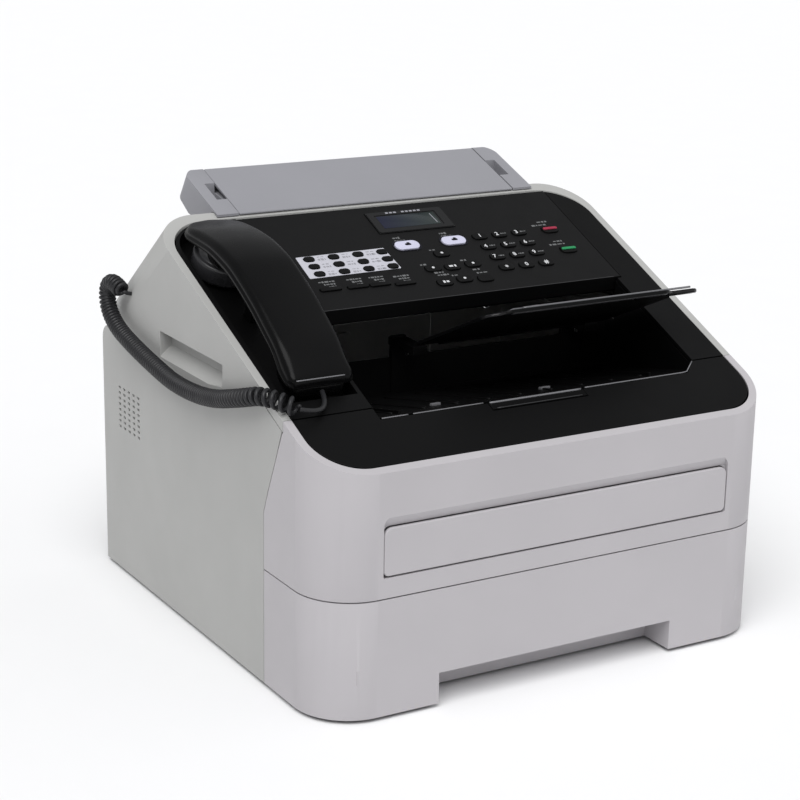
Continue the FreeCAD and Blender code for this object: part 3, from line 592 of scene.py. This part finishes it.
def make_handset_shell():
    rings = []
    stations = [83.2, 83.5, 84.0, 84.8, 86.0, 88.0, 91.0] + [95 + 4.0 * i for i in range(44)]
    stations += [270.5, 272.5, 274.5, 276.0, 277.2, 278.0]
    for v in stations:
        top = smooth_at(BACK, v)
        under = smooth_at(UNDER, v)
        thick = top - under
        left = HANDSET_X + bite(v - 82.5, 7) + bite(279 - v, 26)
        right = HANDSET_X + HANDSET_W - bite(v - 82.5, 7) - bite(279 - v, 20)
        r = min(6.5, thick * 0.52)
        lip = min(3.6, thick * 0.32)
        step = min(1.1, thick * 0.2)
        half = [(0.5, under), (0, under + 0.5), (0, under + lip - 0.5), (0.35, under + lip),
                (step, under + lip + 0.35)]
        for k in range(7):
            turn = math.pi / 2 * k / 6
            half.append((step + r * (1 - math.cos(turn)), top - r + r * math.sin(turn)))
        width = right - left
        ring = [(left + x, v, w) for x, w in half]
        for k in range(1, 6):
            share = k / 6
            across = left + step + r + (width - 2 * step - 2 * r) * share
            ring.append((across, v, top + 0.7 * math.sin(math.pi * share)))
        ring += [(right - x, v, w) for x, w in reversed(half)]
        rings.append(ring)
    obj = loft("handset_shell", rings, "handset_black")
    return handset_piece(obj, ("handset_back",))


FACE_LOW = [(84.6, -3.5), (86, -5.6), (89, -6.3), (107, -6.3), (111, -5.2), (114, -1.0), (119, 5.5), (133, 11.6),
            (154, 15.6), (187, 17.0), (205, 14.0), (216, 8.0), (226, 4.4), (240, 3.2), (256, 3.4), (266, 4.4),
            (272, 5.6)]


def make_handset_face():
    rings = []
    stations = [84.6, 85.2, 86.2, 88.0, 91, 97, 103, 107, 109, 111, 112.5, 114, 116, 119, 123, 128]
    stations += [133 + 6.0 * i for i in range(23)] + [268.5, 271.5]
    for v in stations:
        top = smooth_at(UNDER, v) + 1.0
        low = min(smooth_at(FACE_LOW, v), top - 1.2)
        wide = 18.6 + 1.9 * max(0.0, 1 - abs(v - 98) / 22) - 1.2 * math.exp(-((v - 175) / 40) ** 2)
        left = -146.5 - wide + bite(v - 84, 5) + bite(275 - v, 22)
        right = -146.5 + wide - bite(v - 84, 5) - bite(275 - v, 16)
        r = min(4.5, (top - low) * 0.45)
        half = [(0, top), (0.2, low + r + 0.2)]
        for k in range(6):
            turn = math.pi / 2 * k / 5
            half.append((0.3 + r * (1 - math.cos(turn)), low + r - r * math.sin(turn)))
        ring = [(left + x, v, w) for x, w in half] + [(right - x, v, w) for x, w in reversed(half)]
        rings.append(ring)
    obj = loft("handset_grip", rings, "handset_black")
    handset_piece(obj, ("handset_face",))


def lathe(name, profile, place, material, sides=64):
    verts = []
    faces = []
    for radius, w in profile:
        for k in range(sides):
            turn = 2 * math.pi * k / sides
            verts.append(on_slope(place[0] + radius * math.cos(turn), place[1] + radius * math.sin(turn), w))
    for i in range(len(profile) - 1):
        for k in range(sides):
            m = (k + 1) % sides
            faces.append((i * sides + k, i * sides + m, (i + 1) * sides + m, (i + 1) * sides + k))
    faces.append(tuple(reversed(range(sides))))
    faces.append(tuple((len(profile) - 1) * sides + k for k in range(sides)))
    return mesh_object(name, verts, faces, material)


def make_ear_cup():
    profile = [(19.5, -9.4), (22.6, -9.2), (23.7, -8.2), (24.0, -7.0), (24.0, 3.0), (23.6, 4.2), (22.6, 4.9),
               (21.2, 5.2), (20.2, 6.0), (19.4, 7.8), (19.0, 10.0), (19.2, 12.0), (19.8, 14.0)]
    # The ear cup's lighter grey paints in the sheen on its lit side.
    handset_piece(lathe("ear_cup", profile, EAR_CUP, "painted_sheen_grey"))
    grille = []
    for ring, count in ((0, 1), (5.0, 6), (10.0, 12)):
        for k in range(count):
            turn = 2 * math.pi * k / count
            grille.append((EAR_CUP[0] + ring * math.cos(turn), EAR_CUP[1] + ring * math.sin(turn)))
    studs = [pill_outline(x, v, 2.0, 2.0, steps=3) for x, v in grille]
    plates("ear_grille", studs, -9.55, -9.35, "print_dark", "handset", 0.02)


# ---------------------------------------------------------------- document support

def tilt_point(x, reach, rise):
    """Point on the document support: reach from its hinge edge forwards, rise above its underside."""
    turn = math.radians(24.1)
    foot = Vector((x, -20 - reach * math.cos(turn), 203.8 + reach * math.sin(turn)))
    return (foot + Vector((0, math.sin(turn), math.cos(turn))) * rise) * MM


def support_bar(name, points, radius, material, sides=14):
    obj = tube_mesh(name, points, radius, sides, material)
    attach(obj, "document_support_body")
    return obj


def make_support_details():
    front = 107.4
    rim = [tilt_point(x, front, 0.9) for x in (-6, 0, 20, 60, 100, 126)]
    # The rim is lighter grey as a painted highlight along the support's front edge.
    support_bar("support_rim", even(rim, 4 * MM), 1.7 * MM, "painted_sheen_grey")
    side = [tilt_point(-22.0, y, 1.1) for y in (6, 30, 60, 94)]
    side += [tilt_point(-20.6, 99, 1.1), tilt_point(-8.4, front, 1.0)]
    support_bar("support_side_left", side, 1.2 * MM, "black_gloss")
    arm = [tilt_point(x, front - 0.4, 3.0) for x in (4, 14, 30, 60, 100, 128, 150)]
    # The wire's light grey is a painted highlight.
    support_bar("support_wire", even(arm, 4 * MM), 0.8 * MM, "support_painted_highlight")
    tip = [tilt_point(x, 96.4, 1.4) for x in (134, 142, 150, 158)] + [tilt_point(160.5, 95.4, 1.4)]
    support_bar("support_tip", tip, 1.75 * MM, "black_gloss")


# ---------------------------------------------------------------- cord

COIL_POINTS = [(-191.0, 122.5, 231.5), (-192.2, 135.5, 237.5), (-193.0, 146.5, 231.0), (-193.0, 146.0, 214.5),
               (-193.0, 128.0, 202.5), (-193.0, 96.0, 195.5), (-193.0, 60.0, 189.8),
               (-193.0, 20.9, 185.1), (-193.0, -31.8, 188.9), (-193.0, -80.0, 202.5), (-189.0, -110.0, 212.0),
               (-174.0, -126.0, 204.6)]
LEAD_FRONT = [(-173.5, -126.6, 204.3), (-161.0, -129.0, 201.2), (-150.0, -119.0, 203.6),
              (-146.5, -106.4, 207.8)]
COIL_D = 13.0 * MM
WIRE_D = 3.0 * MM
LEAD_D = 3.4 * MM


def even(points, step):
    """The same line, divided evenly."""
    result = [points[0]]
    carried = 0.0
    for a, b in zip(points, points[1:]):
        gap = (b - a).length
        while carried + gap >= step:
            a = a.lerp(b, (step - carried) / gap)
            gap = (b - a).length
            carried = 0.0
            result.append(a)
        carried += gap
    return result


def helix_points(line):
    """Turns round the line: close together for most of its length, opening towards the handset."""
    fine = even(line, 0.1 * MM)
    total = len(fine)
    radius = COIL_D / 2 - WIRE_D / 2
    angle = 0.0
    result = []
    for i, (point, _, a, b) in enumerate(frames_along(fine)):
        s = i / total
        pitch = 3.15 + 3.6 * max(0.0, (s - 0.70) / 0.30) ** 1.4
        angle += 2 * math.pi * 0.1 / pitch
        ease = min(1.0, s / 0.008, (1 - s) / 0.012)
        r = radius * (0.25 + 0.75 * ease)
        if i % 2 == 0:
            result.append(point + (a * math.cos(angle) + b * math.sin(angle)) * r)
    stub = [(-183.8, 122.5, 229.0), (-185.0, 122.8, 229.2), (-186.8, 123.2, 229.6)]
    return [Vector(place) * MM for place in stub] + result


def make_cord():
    coil_line = line_of(route(COIL_POINTS))
    coil = tube_mesh("handset_coil", helix_points(coil_line), WIRE_D / 2, 10, "cord_plastic")
    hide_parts("cord_curl")
    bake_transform(coil)

    lead_line = line_of(route(LEAD_FRONT))
    lead = tube_mesh("handset_lead_front", lead_line, LEAD_D / 2, 16, "cord_plastic")
    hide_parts("cord_lead_front")
    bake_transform(lead)


# ---------------------------------------------------------------- tray and front edge details

# Tubes default to the mid grey that paints a highlight.
def wire(name, points, radius, body, material="painted_highlight_grey", sides=10):
    obj = tube_mesh(name, points, radius, sides, material)
    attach(obj, body)
    return obj


def make_edge_lines():
    """Beads along the edges of the deck, tray and console, in lighter greys that paint in the highlight on each
    edge.
    """
    lip = [on_slope(x, 50.9, 0.0) for x in (-116.5, -96.0)]
    wire("strip_bead_left", even(lip, 5 * MM), 0.45 * MM, "front_door")
    lip = [on_slope(x, 50.9, 0.0) for x in (-92.5, -35.5)]
    wire("strip_bead_middle", even(lip, 5 * MM), 0.40 * MM, "front_door")
    lip = [on_slope(x, 50.9, 0.0) for x in (46.5, 112.0, 135.8)] + [on_slope(148.0, 61.4, 0.0)]
    wire("strip_bead_right", even(lip, 5 * MM), 0.45 * MM, "front_door")
    lip = [on_slope(x, 49.9, 0.15) for x in (-32.8, 43.4)]
    wire("stop_flap_bead", even(lip, 5 * MM), 0.75 * MM, "paper_stop")
    lip = [on_slope(x, 43.9, 0.1) for x in (-30.0, 40.0)]
    wire("stop_flap_foot", even(lip, 5 * MM), 0.35 * MM, "paper_stop", "painted_sheen_grey")
    lip = [on_slope(x, 167.9, -0.3) for x in (-116.6, 151.6)]
    wire("console_bead", even(lip, 8 * MM), 0.42 * MM, "panel", "painted_sheen_grey")
    lip = [on_slope(x, 168.3, -11.5) for x in (-116.0, 151.0)]
    wire("console_foot", even(lip, 8 * MM), 0.40 * MM, "panel", "painted_sheen_grey")


def tray_point(x, y, rise):
    """On the output tray's floor, which falls towards the back."""
    share = (y + 122.2) / 142.2
    return Vector((x, y, 189.1 - 31.1 * share + rise)) * MM


def small_block(name, corners, rise, body, material):
    """Low block with a chamfered top on four floor corners given in metres."""
    centre = sum(corners, Vector()) / 4
    up = Vector((0, 0, 1)) * rise
    verts = list(corners)
    verts += [c + up * 0.6 for c in corners]
    verts += [c.lerp(centre, 0.12) + up for c in corners]
    faces = [(3, 2, 1, 0), (8, 9, 10, 11)]
    for level in (0, 4):
        for k in range(4):
            m = (k + 1) % 4
            faces.append((level + k, level + m, level + 4 + m, level + 4 + k))
    obj = mesh_object(name, verts, faces, material, smooth=False)
    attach(obj, body)
    return obj


def make_tray_details():
    for i, (x0, x1, y) in enumerate(((-58.0, -51.0, -101.0), (32.0, 40.0, -101.0))):
        ends = ((x0, y), (x1, y), (x1, y + 3.0), (x0, y + 3.0))
        corners = [tray_point(*end, 0) for end in ends]
        # The tray stops are light grey as a painted highlight.
        small_block("tray_stop_%d" % i, corners, 1.8 * MM, "chassis", "painted_highlight_grey")
    for i in range(9):
        x = -96 + 26.0 * i
        line = [tray_point(x, y, 0.2) for y in (-112, -60, -10)]
        wire("tray_rib_%d" % i, even(line, 6 * MM), 0.8 * MM, "chassis", "tray_black")


def make_support_hinge():
    """Bracket and latch at the left of the document support's front edge, and the lug under the console."""
    blocks = ((-4.0, 102.0, 20.0, 4.6), (10.5, 104.0, 6.0, 6.4), (24.0, 103.5, 10.0, 3.2))
    for i, (x, reach, wide, deep) in enumerate(blocks):
        corners = [tilt_point(x, reach + deep / 2, 1.6), tilt_point(x + wide, reach + deep / 2, 1.6),
                   tilt_point(x + wide, reach - deep / 2, 1.6), tilt_point(x, reach - deep / 2, 1.6)]
        # The latch blocks are light grey as a painted highlight.
        small_block("support_latch_%d" % i, corners, 2.4 * MM, "document_support_body",
                    "painted_highlight_grey")
    corners = [tilt_point(x, reach, 1.6) for x, reach in ((125, 102.5), (131, 102.5), (131, 92), (125, 92))]
    small_block("support_clip", corners, 2.8 * MM, "document_support_body", "black_gloss")


def make_handset_details():
    """Front lip of the shell, in light grey as a painted highlight."""
    lip = [on_slope(x, 84.2, 13.0) for x in (-166.5, -146.5, -126.5)]
    obj = tube_mesh("handset_front_bead", even(lip, 4 * MM), 0.45 * MM, 10, "painted_highlight_grey")
    handset_piece(obj)


# ---------------------------------------------------------------- whole scene


make_camera()
make_materials()
make_light()
make_floor()
make_cord()
finish_cad()
make_dial_prints()
make_stop_and_start()
make_label_sheet()
make_panel_prints()
make_navigation_prints()
make_display()
make_handset_shell()
make_handset_face()
make_ear_cup()
make_support_details()
make_support_hinge()
make_edge_lines()
make_tray_details()
make_handset_details()
